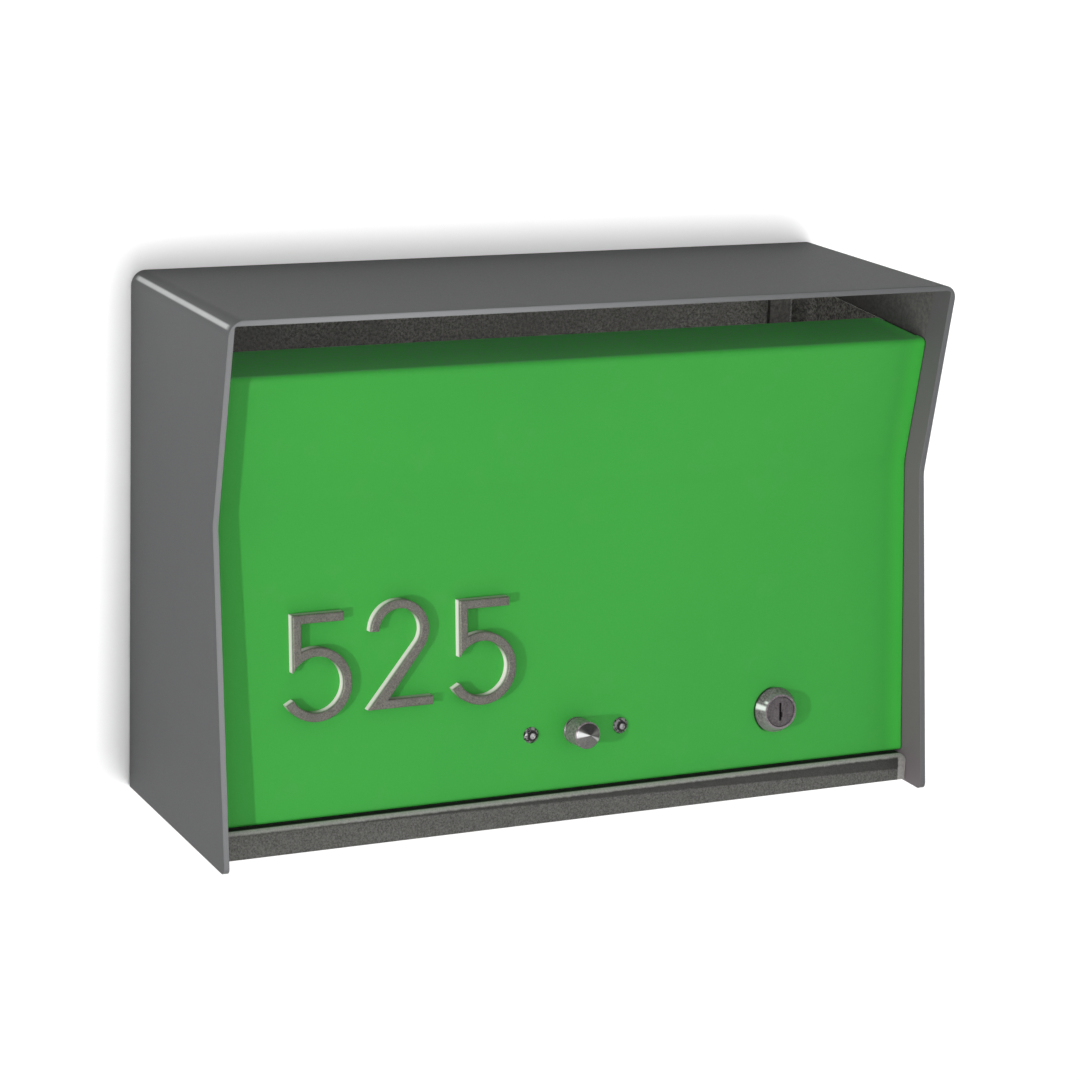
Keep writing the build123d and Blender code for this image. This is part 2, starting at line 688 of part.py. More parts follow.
def lock_plug():
    """Plug that turns with the key, square where it carries the cam."""
    front = BEZEL_HEIGHT - PLUG_FACE_DEPTH + 0.1
    face = Pos(0, 0, front) * turned(PLUG_FACE_RADIUS, PLUG_FACE_DEPTH - 0.4)
    face = chamfer(face.edges().sort_by(Axis.Z)[-1], 0.4)
    body = Pos(0, 0, -BARREL_LENGTH - 0.2) * turned(PLUG_RADIUS, BARREL_LENGTH + 0.2 + front)
    square = Pos(0, 0, -BARREL_LENGTH - 0.2 - CAM / 2) * Box(7.0, 7.0, CAM)
    tapped = Pos(0, 0, -BARREL_LENGTH - 10) * turned(2.0, 16)
    return on_face(face + body + square - key_slot() - tapped, LOCK_X, LOCK_HEIGHT)


def lock_cam():
    """Flat cam that hooks behind the strike when it is turned down."""
    eye = Circle(8.0)
    arm_length = CAM_REACH - CAM_HALF_WIDTH
    arm = Pos(-arm_length / 2, 0) * Rectangle(arm_length, 2 * CAM_HALF_WIDTH)
    tip = Pos(-arm_length, 0) * Circle(CAM_HALF_WIDTH)
    shape = eye + arm + tip - Rectangle(7.04, 7.04)
    plate = Pos(0, 0, -BARREL_LENGTH - 0.2 - CAM) * extrude(shape, amount=CAM)
    return on_face(plate, LOCK_X, LOCK_HEIGHT)


def cam_screw():
    """Screw that holds the cam on the plug."""
    rear = -BARREL_LENGTH - 0.2 - CAM
    head = Pos(0, 0, rear - 2.8) * hexagon(8.0, 2.8)
    washer = Pos(0, 0, rear - 0.6) * turned(6.0, 0.6)
    shank = Pos(0, 0, rear) * turned(1.95, 7.0)
    return on_face(head + washer + shank, LOCK_X, LOCK_HEIGHT)


# --- house numbers -----------------------------------------------------------------------------------


def bar(left, right, low, high):
    """An upright or level stroke between two edges on each axis."""
    return Pos((left + right) / 2, (low + high) / 2) * Rectangle(right - left, high - low)


def five_outline():
    """Digit five: a flag bar, a stem and a round open bowl."""
    left = FIVE_LEFT
    centre = (left + FIVE_BOWL_X, FIVE_BOWL_HEIGHT)
    inner = FIVE_BOWL_RADIUS - STROKE
    bowl = Pos(*centre) * (Circle(FIVE_BOWL_RADIUS) - Circle(inner))
    reach = 2 * FIVE_BOWL_RADIUS
    angles = [math.radians(a) for a in FIVE_MOUTH]
    corners = [(centre[0] + reach * math.cos(a), centre[1] + reach * math.sin(a)) for a in angles]
    mouth = make_face(Polyline(centre, *corners, close=True))
    beside_stem = bar(left - 20, left, FIVE_BOWL_HEIGHT, FIVE_TOP)
    stem = bar(left, left + STROKE, FIVE_BOWL_HEIGHT, FIVE_TOP) - Pos(*centre) * Circle(inner)
    flag = bar(left, left + FIVE_BAR, FIVE_TOP - STROKE, FIVE_TOP)
    return (bowl - mouth - beside_stem) + stem + flag


def two_outline():
    """Digit two: a round head that runs into a slanting stroke, on a level foot."""
    centre = (TWO_X, TWO_CENTRE_HEIGHT)
    slope = math.radians(TWO_SLOPE)
    radii = (TWO_RADIUS - STROKE, TWO_RADIUS)
    inner, outer = [(centre[0] + r * math.sin(slope), centre[1] - r * math.cos(slope)) for r in radii]
    left = inner[0] - (inner[1] - TWO_FOOT) / math.tan(slope)
    slant = make_face(Polyline(inner, outer, (left + TWO_SLANT_FOOT, TWO_FOOT), (left, TWO_FOOT), close=True))
    head = Pos(*centre) * (Circle(TWO_RADIUS) - Circle(TWO_RADIUS - STROKE))
    reach = 3 * TWO_RADIUS
    angles = [math.radians(a) for a in (TWO_SLOPE - 90, -100, -150, -182)]
    corners = [(centre[0] + reach * math.cos(a), centre[1] + reach * math.sin(a)) for a in angles]
    mouth = make_face(Polyline(centre, *corners, close=True))
    foot = bar(left + STROKE / math.tan(slope), TWO_BAR_RIGHT, TWO_FOOT, TWO_FOOT + STROKE)
    return (head - mouth) + slant + foot


def number(outline, places, shift=0.0):
    """A digit with rounded front edges and two studs through the door."""
    plane = face_plane(0, 0)
    rise = math.sqrt(1 + FACE_LEAN**2)
    digit = extrude(Pos(shift, 0) * scale(outline, by=(1, rise, 1)), amount=NUMBER_DEPTH)
    digit = fillet(digit.faces().sort_by(Axis.Z)[-1].edges(), NUMBER_EDGE)
    solid = plane * digit
    for x, height in places:
        stud = Pos(0, 0, -STUD_LENGTH) * turned(STUD_RADIUS, STUD_LENGTH)
        solid = solid + on_face(stud, x, height)
    return solid


def stud_nuts():
    """Nuts on the studs of all three numbers."""
    places = [place for digit in stud_places() for place in digit]
    return group(nut_behind(x, h, 5.5, 2.4, STUD_RADIUS, DOOR) for x, h in places)


# --- write every node ---------------------------------------------------------------------------------

os.makedirs("parts", exist_ok=True)

liner_rivets, top_rivets, pan_rivets = rivet_places()
first_studs, two_studs, second_studs = stud_places()

nodes = {
    "outer_casing": outer_casing(),
    "back_panel": back_panel(),
    "inner_liner_left": mirrored(inner_liner()),
    "inner_liner_right": inner_liner(),
    "bottom_pan": bottom_pan(),
    "liner_rivets_left": rivets(liner_rivets, (-1,)),
    "liner_rivets_right": rivets(liner_rivets, (1,)),
    "top_rivets": rivets(top_rivets, (-1, 1)),
    "pan_rivets": rivets(pan_rivets, (-1, 1)),
    "hinge_pin_left": mirrored(hinge_pin()),
    "hinge_pin_right": hinge_pin(),
    "hinge_clip_left": mirrored(hinge_clip()),
    "hinge_clip_right": hinge_clip(),
    "bumper_left": mirrored(bumper()),
    "bumper_right": bumper(),
    "magnetic_catch": magnetic_catch(),
    "catch_plates": group([catch_plate(-1.6, 0.02), catch_plate(1.6, 0.02)]),
    "door_panel": door_panel(),
    "hinge_arm_left": mirrored(hinge_arm()),
    "hinge_arm_right": hinge_arm(),
    "hinge_bushing_left": mirrored(hinge_bushing()),
    "hinge_bushing_right": hinge_bushing(),
    "pull_knob": pull_knob(),
    "knob_screw": knob_screw(),
    "bracket_plate": bracket_plate(),
    "bracket_screws": bracket_screws(),
    "bracket_nuts": bracket_nuts(),
    "house_number_5_left": number(five_outline(), first_studs),
    "house_number_2": number(two_outline(), two_studs),
    "house_number_5_right": number(five_outline(), second_studs, FIVE_PITCH),
    "number_stud_nuts": stud_nuts(),
    "lock_housing": lock_housing(),
    "lock_nut": lock_nut(),
    "lock_plug": lock_plug(),
    "lock_cam": lock_cam(),
    "cam_screw": cam_screw(),
}

for name, shape in nodes.items():
    save(name, shape)
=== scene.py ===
import json
import math

import bpy
from mathutils import Matrix, Vector


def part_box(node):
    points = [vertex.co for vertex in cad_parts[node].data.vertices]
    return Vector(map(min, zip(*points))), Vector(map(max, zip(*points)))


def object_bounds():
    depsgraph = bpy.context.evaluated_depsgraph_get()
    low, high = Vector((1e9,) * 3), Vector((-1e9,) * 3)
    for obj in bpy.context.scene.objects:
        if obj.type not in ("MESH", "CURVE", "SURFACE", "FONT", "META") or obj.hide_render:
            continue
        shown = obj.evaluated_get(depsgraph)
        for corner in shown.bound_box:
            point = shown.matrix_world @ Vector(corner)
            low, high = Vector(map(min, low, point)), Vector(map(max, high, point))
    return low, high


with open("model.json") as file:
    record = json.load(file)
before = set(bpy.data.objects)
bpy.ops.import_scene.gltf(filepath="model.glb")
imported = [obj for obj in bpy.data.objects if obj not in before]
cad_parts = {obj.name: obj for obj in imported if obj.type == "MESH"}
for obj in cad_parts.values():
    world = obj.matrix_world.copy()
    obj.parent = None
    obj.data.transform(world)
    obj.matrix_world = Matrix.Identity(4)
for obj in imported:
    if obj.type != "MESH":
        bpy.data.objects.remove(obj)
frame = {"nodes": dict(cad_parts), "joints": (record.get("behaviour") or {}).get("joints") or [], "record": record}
cad_low, cad_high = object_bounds()
nodes = frame["nodes"]

NUMBERS = ("house_number_5_left", "house_number_2", "house_number_5_right")
LINERS = ("back_panel", "inner_liner_left", "inner_liner_right")

# --- camera ---------------------------------------------------------------------------------

CAMERA_PLACE = Vector((-0.698, -1.5245, 0.406))
CAMERA_YAW = math.radians(25.661)
CAMERA_PITCH = math.radians(14.181)
CAMERA_ROLL = math.radians(1.99)
LENS = 109.5
SENSOR = 36.0


def make_camera():
    """Camera in front and to the left of the box, a little above it."""
    yaw, pitch, roll = CAMERA_YAW, CAMERA_PITCH, CAMERA_ROLL
    ahead = Vector((math.sin(yaw) * math.cos(pitch), math.cos(yaw) * math.cos(pitch), -math.sin(pitch)))
    level = Vector((math.cos(yaw), -math.sin(yaw), 0))
    upright = level.cross(ahead)
    right = math.cos(roll) * level + math.sin(roll) * upright
    up = -math.sin(roll) * level + math.cos(roll) * upright
    data = bpy.data.cameras.new("camera")
    data.lens = LENS
    data.sensor_width = SENSOR
    data.clip_start = 0.05
    data.clip_end = 30
    camera = bpy.data.objects.new("camera", data)
    bpy.context.scene.collection.objects.link(camera)
    turn = Matrix((right, up, -ahead)).transposed()
    camera.matrix_world = Matrix.Translation(CAMERA_PLACE) @ turn.to_4x4()
    bpy.context.scene.camera = camera


# --- where the paint changes ----------------------------------------------------------------------
# Metres in the row's frame, and degrees for angles. A pair of lengths says where a mask starts and
# where it is full.

BOX_SIDES = (-0.19, 0.19)

INNER_RIGHT_FACE = (0.186, 0.188)
INNER_RIGHT_SHADE = (0.03, 0.11)
INSIDE_OF_SIDES = (0.1909, 0.1906)
INSIDE_OF_TOP = (0.1306, 0.1303)
# Where the inner faces turn darker, browner and rougher, behind a line sloping back as it rises.
DEEP_TONE_START = -0.0909
DEEP_TONE_SLOPE = 0.28
DEEP_TONE_BLUR = 0.0006
DEEP_TONE_HEIGHT = (0.098, 0.100)
DEEP_TONE_DEPTH = (-0.085, -0.080)
# Where the painted highlight along the casing's folds lies.
FOLD_HIGHLIGHT_ANGLES = (51, 60)
FOLD_HIGHLIGHT_HALF_ANGLE = 13
FOLD_HIGHLIGHT_BACK = (-0.004, -0.009)
FOLD_HIGHLIGHT_FRONT = (0.003, 0.007)

# Where painted light brightens the door towards its right edge.
DOOR_RIGHT_PAINTED_LIGHT = (0.178, 0.189)
# Where the painted shadow around the lock body lies.
LOCK_PAINTED_SHADOW = (0.0128, 0.0122)
# Where painted shade darkens the liners, from none to most.
LINER_PAINTED_SHADE = (0.12, -0.19)

LIP_FACE = (-0.1205, -0.1215)
LIP_BLUR = 0.0004
LIP_WAVE = 0.00025
# Where the lip's dark painted reflection band lies, and how much wider it gets to the right.
LIP_DARK_REFLECTION = -0.1199
LIP_DARK_REFLECTION_REACH = 0.0060
# Where the lip's painted highlight starts on the crest, and on its ends.
LIP_HIGHLIGHT = -0.1197
LIP_CREST = -0.1243
LIP_END_HIGHLIGHT = (0.1855, 0.1861)

# How far up the numerals' sides the painted highlight reaches.
NUMBER_HIGHLIGHT_RISE = (0.0050, 0.0030)
BEZEL_RIM_INNER = (0.0086, 0.0091)
BEZEL_RIM_OUTER = (0.0102, 0.0095)
# Where painted light brightens the lock body's lower part.
BEZEL_PAINTED_LIGHT_LOWER = (-0.002, -0.008)
# Where the lock body's painted highlight lies.
BEZEL_HIGHLIGHT_ARM = (0.0102, 0.0096)
BEZEL_HIGHLIGHT = (0.0088, 0.0093)

SCREW_RADIUS = 0.0042
SCREW_HEIGHT = -0.0878
# Where the screws' dark painted ring and bright painted highlight lie.
SCREW_DARK_REFLECTION = (0.0031, 0.0024)
SCREW_SOCKET = (0.0016, 0.0011)

# --- materials --------------------------------------------------------------------------------


def srgb(red, green, blue):
    """A colour given in 0 to 255 display values, as linear light."""
    def one(value):
        value = value / 255
        return value / 12.92 if value <= 0.04045 else ((value + 0.055) / 1.055) ** 2.4
    return (one(red), one(green), one(blue), 1)


class Maker:
    """A node material under construction."""

    def __init__(self, name):
        self.material = bpy.data.materials.new(name)
        self.material.use_nodes = True
        self.tree = self.material.node_tree
        self.shader = self.tree.nodes["Principled BSDF"]
        self.output = self.tree.nodes["Material Output"]
        self.place = self.add("ShaderNodeTexCoord").outputs["Object"]

    def add(self, kind, inputs=None, **settings):
        """A new node with its settings and inputs."""
        node = self.tree.nodes.new(kind)
        for key, value in settings.items():
            setattr(node, key, value)
        for key, value in (inputs or {}).items():
            self.set(node.inputs[key], value)
        return node

    def set(self, socket, value):
        """Link a socket to another node, or give it a constant."""
        if isinstance(value, bpy.types.NodeSocket):
            self.tree.links.new(value, socket)
        else:
            socket.default_value = value

    def surface(self, **values):
        """Set the shader's sockets, named with underscores for spaces."""
        for key, value in values.items():
            self.set(self.shader.inputs[key.replace("_", " ")], value)

    def noise(self, scale, detail=2.0, rough=0.5, place=None):
        """Cloudy values around 0.5, at so many clouds to the metre."""
        node = self.add("ShaderNodeTexNoise", {
            "Vector": place or self.place, "Scale": scale, "Detail": detail, "Roughness": rough,
        })
        return node.outputs["Fac"]

    def stretched(self, x, y, z):
        """Object coordinates stretched, for grain that runs one way."""
        node = self.add("ShaderNodeMapping", {"Vector": self.place, "Scale": (x, y, z)})
        return node.outputs["Vector"]

    def span(self, value, low, high, new_low=0.0, new_high=1.0, smooth=False):
        """A value moved from one range to another, and held at the new range's ends."""
        node = self.add("ShaderNodeMapRange", {
            "Value": value, "From Min": low, "From Max": high, "To Min": new_low, "To Max": new_high,
        })
        node.interpolation_type = "SMOOTHSTEP" if smooth else "LINEAR"
        return node.outputs["Result"]

    def across(self, noise, low, high):
        """A noise's usual range moved to a new one."""
        return self.span(noise, 0.3, 0.7, low, high)

    def math(self, operation, a, b=0.0, third=None):
        """A sum, product or other function of numbers."""
        node = self.add("ShaderNodeMath", operation=operation)
        self.set(node.inputs[0], a)
        self.set(node.inputs[1], b)
        if third is not None:
            self.set(node.inputs[2], third)
        return node.outputs[0]

    def mixed(self, a, b, factor):
        """A number between two numbers."""
        node = self.add("ShaderNodeMix", data_type="FLOAT")
        self.set(node.inputs[0], factor)
        self.set(node.inputs[2], a)
        self.set(node.inputs[3], b)
        return node.outputs[0]

    def mix(self, factor, a, b):
        """A colour between two colours."""
        node = self.add("ShaderNodeMix", data_type="RGBA")
        self.set(node.inputs[0], factor)
        self.set(node.inputs[6], a)
        self.set(node.inputs[7], b)
        return node.outputs[2]

    def bump(self, height, distance, strength, normal=None):
        """Surface normal with a fine relief."""
        inputs = {"Height": height, "Distance": distance, "Strength": strength}
        if normal:
            inputs["Normal"] = normal
        return self.add("ShaderNodeBump", inputs).outputs["Normal"]

    def round_edges(self, radius):
        """Surface normal with its sharp edges softened."""
        self.rounded = self.add("ShaderNodeBevel", {"Radius": radius}, samples=4).outputs["Normal"]

    def edges(self, low, high):
        """1 on sharp outer and inner edges, 0 on flat faces."""
        flat = self.add("ShaderNodeNewGeometry").outputs["Normal"]
        node = self.add("ShaderNodeVectorMath", operation="DOT_PRODUCT")
        self.set(node.inputs[0], self.rounded)
        self.set(node.inputs[1], flat)
        return self.span(node.outputs["Value"], high, low, 0, 1, smooth=True)

    def axes(self, vector):
        """The three parts of a vector."""
        return self.add("ShaderNodeSeparateXYZ", {0: vector}).outputs

    def facing(self, kind="True Normal"):
        """The three parts of the surface normal."""
        return self.axes(self.add("ShaderNodeNewGeometry").outputs[kind])

    def both(self, *values):
        """All masks together."""
        result = values[0]
        for value in values[1:]:
            result = self.math("MULTIPLY", result, value)
        return result


def casing_paint(front):
    """Charcoal powder coat with fine orange peel and worn edges, darker, browner and rougher deep inside,
    with painted shade on its top, front edges and inner right face, and a painted highlight on its folds.

    front is where the casing's front edges are.
    """
    m = Maker("casing_paint")
    m.round_edges(0.0008)
    broad = m.noise(7, 4, 0.6)
    cloud = m.noise(60, 3, 0.6)
    fine = m.noise(1500, 2)
    peel = m.noise(520, 2, 0.6)
    nx, ny, nz = m.facing("Normal")
    x, y, z = m.axes(m.place)
    tone = m.mix(m.span(broad, 0.32, 0.68), srgb(88, 89, 90), srgb(92, 93, 93))
    # Painted shade: faces that look up are darker, and darker still towards the right.
    roof_painted_shade = m.mix(m.span(x, *BOX_SIDES), srgb(49, 52, 50), srgb(36, 39, 37))
    tone = m.mix(m.both(m.span(nz, 0.6, 0.97), 0.9), tone, roof_painted_shade)
    # Painted shade on the inner right face, darker towards the top under the hood.
    inward = m.both(m.span(x, *INNER_RIGHT_FACE), m.span(nx, -0.8, -0.95))
    inner_right_painted_shade = m.mix(m.span(z, *INNER_RIGHT_SHADE), srgb(90, 84, 87), srgb(74, 74, 74))
    tone = m.mix(inward, tone, inner_right_painted_shade)
    # Painted shade: faces that look forward are a little darker.
    tone = m.mix(m.both(m.span(ny, -0.8, -0.95), 0.9), tone, srgb(81, 82, 83))
    tone = m.mix(m.both(m.span(fine, 0.35, 0.75), 0.2), tone, srgb(98, 98, 97))
    worn = m.both(m.edges(0.75, 0.995), m.across(cloud, 0.1, 0.5))
    tone = m.mix(worn, tone, srgb(108, 108, 108))
    # Painted highlight: a bright line along the folds, between the sides and the top.
    turn = m.math("ARCTAN2", m.math("ABSOLUTE", nx), nz)
    middle = m.span(y, 0.0, front, *(math.radians(degrees) for degrees in FOLD_HIGHLIGHT_ANGLES))
    away = m.math("ABSOLUTE", m.math("SUBTRACT", turn, middle))
    width = math.radians(FOLD_HIGHLIGHT_HALF_ANGLE)
    line = m.span(away, width, width / 3, smooth=True)
    line = m.both(line, m.span(y, *FOLD_HIGHLIGHT_BACK), m.span(y, *(front + gap for gap in FOLD_HIGHLIGHT_FRONT)))
    line = m.both(line, m.across(cloud, 0.88, 1.0))
    tone = m.mix(line, tone, srgb(190, 191, 191))
    # Inner faces behind a line that slopes back as it rises, high up or far back, turn darker, browner and
    # rougher.
    inside = m.both(m.span(m.math("ABSOLUTE", x), *INSIDE_OF_SIDES), m.span(z, *INSIDE_OF_TOP))
    leaning = m.math("ADD", y, m.math("MULTIPLY", z, DEEP_TONE_SLOPE))
    behind = m.span(leaning, DEEP_TONE_START - DEEP_TONE_BLUR, DEEP_TONE_START + DEEP_TONE_BLUR)
    high = m.math("MAXIMUM", m.span(z, *DEEP_TONE_HEIGHT), m.span(y, *DEEP_TONE_DEPTH))
    deep = m.both(behind, inside, high)
    deep_tone = m.mix(m.span(m.noise(420, 5, 0.8), 0.38, 0.64), srgb(60, 59, 57), srgb(88, 86, 83))
    tone = m.mix(deep, tone, deep_tone)
    m.surface(
        Base_Color=tone,
        Roughness=m.mixed(m.across(fine, 0.48, 0.6), 0.7, deep),
        Normal=m.bump(m.math("ADD", m.math("MULTIPLY", fine, 0.3), peel), 0.00004, 0.5, m.rounded),
        Specular_IOR_Level=0.1,
    )
    return m.material


def door_paint(lock, lean):
    """Bright green powder coat with orange peel, worn folds, painted light near its right edge, and a dark painted
    shadow around the lock body.

    lock is a point on the lock's axis, and lean is how far the lower face runs back as it rises.
    """
    m = Maker("door_paint")
    m.round_edges(0.0007)
    broad = m.noise(6, 3, 0.55)
    fine = m.noise(1700, 2)
    peel = m.noise(600, 2, 0.6)
    x = m.axes(m.place)[0]
    tone = m.mix(m.span(broad, 0.3, 0.7), srgb(62, 174, 68), srgb(66, 180, 69))
    # Painted light: the door is brighter towards its right edge, as from light bounced off the casing's inner
    # side.
    tone = m.mix(m.both(m.span(x, *DOOR_RIGHT_PAINTED_LIGHT, smooth=True), 0.8), tone, srgb(76, 214, 78))
    tone = m.mix(m.both(m.span(fine, 0.4, 0.8), 0.12), tone, srgb(104, 196, 100))
    dust = m.both(m.span(m.noise(42, 5, 0.7), 0.56, 0.75), 0.10)
    tone = m.mix(dust, tone, srgb(120, 170, 112))
    tone = m.mix(m.both(m.edges(0.75, 0.995), 0.3), tone, srgb(112, 200, 108))
    flange = m.both(m.span(m.facing()[2], 0.7, 0.95), m.span(m.noise(420, 4, 0.75), 0.38, 0.62, 0.1, 0.5))
    tone = m.mix(flange, tone, srgb(110, 140, 122))
    right, up, angle = from_axis(m, lock, lean)
    # Painted shadow: a dark crescent on the door around the left of the lock body.
    ring = m.both(m.span(distance(m, right, up), *LOCK_PAINTED_SHADOW), wedge(m, angle, 168, 72, 16))
    tone = m.mix(m.both(ring, 0.92), tone, srgb(14, 24, 14))
    m.surface(
        Base_Color=tone,
        Roughness=m.across(m.noise(30, 3), 0.42, 0.5),
        Normal=m.bump(m.math("ADD", m.math("MULTIPLY", fine, 0.25), peel), 0.00005, 0.4, m.rounded),
        Specular_IOR_Level=0.25,
    )
    return m.material


def liner_paint():
    """Dark brownish textured powder coat, patchy, with painted shade towards one side, and edges near white from
    wear and a painted highlight.
    """
    m = Maker("liner_paint")
    m.round_edges(0.0006)
    grain = m.noise(640, 4, 0.85)
    patch = m.noise(26, 5, 0.7)
    x = m.axes(m.place)[0]
    tone = m.mix(m.span(grain, 0.42, 0.60), srgb(36, 35, 33), srgb(122, 120, 115))
    tone = m.mix(m.span(patch, 0.42, 0.62, 0.0, 0.45), tone, srgb(72, 70, 67))
    # Painted shade: the liners are darker towards the left.
    tone = m.mix(m.span(x, *LINER_PAINTED_SHADE, 0.0, 0.55), tone, srgb(10, 10, 10))
    m.surface(
        # Near-white edges: partly edge wear, partly a painted highlight.
        Base_Color=m.mix(m.edges(0.65, 0.995), tone, srgb(240, 240, 238)),
        Roughness=m.across(grain, 0.55, 0.75),
        Normal=m.bump(grain, 0.00016, 0.9, m.rounded),
        Specular_IOR_Level=0.3,
    )
    return m.material


def bare_steel():
    """Weathered steel sheet with a speckled grain.

    The lip's rolled crest and its ends carry a pale painted highlight, with painted shade in a dark line
    behind the crest and a dark painted reflection in a band below it that widens to the right.
    """
    m = Maker("bare_steel")
    m.round_edges(0.0006)
    grain = m.noise(1100, 4, 0.85)
    speck = m.noise(1000, 5, 0.85)
    patch = m.noise(60, 4, 0.65, m.stretched(0.5, 1, 1))
    x, y, z = m.axes(m.place)
    wave = m.math("MULTIPLY", m.across(m.noise(260, 4, 0.7), -1, 1), LIP_WAVE)
    height = m.math("ADD", z, wave)
    side = m.math("ADD", m.math("ABSOLUTE", x), wave)
    face = m.mix(m.span(grain, 0.38, 0.62), srgb(94, 94, 90), srgb(136, 136, 132))
    face = m.mix(m.span(patch, 0.45, 0.68, 0.0, 0.15), face, srgb(140, 140, 136))
    lip = m.span(y, *LIP_FACE)
    # Painted reflection: a dark band below the crest that widens towards the right.
    reach = m.math("POWER", m.span(x, *BOX_SIDES), 1.5)
    dark_reflection_height = m.math("ADD", height, m.math("MULTIPLY", reach, LIP_DARK_REFLECTION_REACH))
    dark_reflection = m.both(lip, m.span(dark_reflection_height, LIP_DARK_REFLECTION - LIP_BLUR, LIP_DARK_REFLECTION + LIP_BLUR))
    face = m.mix(m.both(dark_reflection, m.span(speck, 0.35, 0.6, 0.95, 0.6)), face, srgb(68, 68, 66))
    face = m.mix(m.span(speck, 0.50, 0.62, 0.0, 0.6), face, srgb(60, 59, 56))
    # Painted highlight: the rolled crest and the lip's ends are pale.
    top = m.span(height, LIP_HIGHLIGHT - LIP_BLUR, LIP_HIGHLIGHT + LIP_BLUR)
    ahead = m.span(y, LIP_CREST + LIP_BLUR, LIP_CREST - LIP_BLUR)
    pale = m.both(ahead, m.math("MAXIMUM", top, m.span(side, *LIP_END_HIGHLIGHT)))
    pale = m.both(pale, m.span(speck, 0.30, 0.62, 1.0, 0.6))
    # Painted shade: a dark line behind the crest.
    shade = m.both(lip, top, m.math("SUBTRACT", 1.0, ahead))
    tone = m.mix(m.both(shade, 0.85), face, srgb(36, 36, 34))
    tone = m.mix(pale, tone, srgb(214, 212, 208))
    m.surface(
        Base_Color=tone,
        Metallic=m.mixed(0.3, 0.05, pale),
        Roughness=m.across(speck, 0.45, 0.6),
        Normal=m.bump(m.math("ADD", grain, speck), 0.00006, 0.6, m.rounded),
        Specular_IOR_Level=0.3,
    )
    return m.material


def metal(name, dark, bright, rough, scale, metallic=1.0, wear=0.35):
    """Metal whose tone and roughness vary with a fine grain, brighter along its edges."""
    m = Maker(name)
    m.round_edges(0.0004)
    grain = m.noise(scale, 4, 0.75)
    cloud = m.noise(scale / 14, 4, 0.65)
    tone = m.mix(m.span(grain, 0.36, 0.66), dark, bright)
    tone = m.mix(m.span(cloud, 0.45, 0.7, 0, 0.35), tone, dark)
    tone = m.mix(m.both(m.edges(0.8, 0.995), wear), tone, srgb(235, 232, 228))
    m.surface(
        Base_Color=tone,
        Metallic=metallic,
        Roughness=m.across(grain, *rough),
        Normal=m.bump(grain, 0.00004, 0.6, m.rounded),
    )
    return m.material


def nickel(foot, outward):
    """Brushed nickel numerals: dark speckled faces, with a painted highlight on the sides that face up and to the
    left.

    foot is a point on the door's face and outward its normal.
    """
    m = Maker("brushed_nickel")
    m.round_edges(0.0003)
    grain = m.noise(1500, 4, 0.85)
    cloud = m.noise(130, 4, 0.65)
    nx, ny, nz = m.facing("Normal")
    tone = m.mix(m.span(grain, 0.36, 0.64), srgb(98, 97, 91), srgb(150, 147, 139))
    tone = m.mix(m.span(cloud, 0.45, 0.7, 0, 0.3), tone, srgb(84, 80, 76))
    tone = m.mix(m.both(m.edges(0.8, 0.995), 0.2), tone, srgb(190, 187, 183))
    # Painted highlight on the front part of the sides that face up and to the left.
    up_left = m.math("SUBTRACT", m.math("MULTIPLY", nz, 0.45), m.math("MULTIPLY", nx, 0.9))
    towards = m.span(up_left, 0.25, 0.75)
    away = m.add("ShaderNodeVectorMath", {0: m.place, 1: foot}, operation="SUBTRACT").outputs[0]
    rise = m.add("ShaderNodeVectorMath", {0: away, 1: outward}, operation="DOT_PRODUCT").outputs["Value"]
    painted_lit_sides = m.both(towards, m.span(ny, -0.55, -0.25), m.span(rise, *NUMBER_HIGHLIGHT_RISE))
    tone = m.mix(m.both(painted_lit_sides, m.span(grain, 0.35, 0.65, 1.0, 0.9)), tone, srgb(246, 232, 234))
    m.surface(
        Base_Color=tone,
        Metallic=m.mixed(0.45, 0.05, painted_lit_sides),
        Roughness=m.across(grain, 0.42, 0.55),
        Normal=m.bump(grain, 0.00004, 0.6, m.rounded),
        Specular_IOR_Level=0.3,
    )
    return m.material


def from_axis(m, place, lean):
    """Right and up distances from an axis that stands on the lower door face, and its angle."""
    x, y, z = m.axes(m.place)
    right = m.math("SUBTRACT", x, place[0])
    forward = m.math("MULTIPLY", m.math("SUBTRACT", place[1], y), lean)
    up = m.math("SUBTRACT", m.math("SUBTRACT", z, place[2]), forward)
    return right, up, m.math("ARCTAN2", up, right)


def distance(m, right, up):
    """How far a point is from the axis."""
    return m.math("SQRT", m.math("ADD", m.math("MULTIPLY", right, right), m.math("MULTIPLY", up, up)))


def wedge(m, angle, middle, width, blur):
    """1 inside a wedge of directions around an axis, in degrees."""
    turned = m.math("SUBTRACT", angle, math.radians(middle))
    away = m.math("ABSOLUTE", m.math("WRAP", turned, math.pi, third=-math.pi))
    return m.span(away, math.radians(width + blur), math.radians(width - blur), smooth=True)


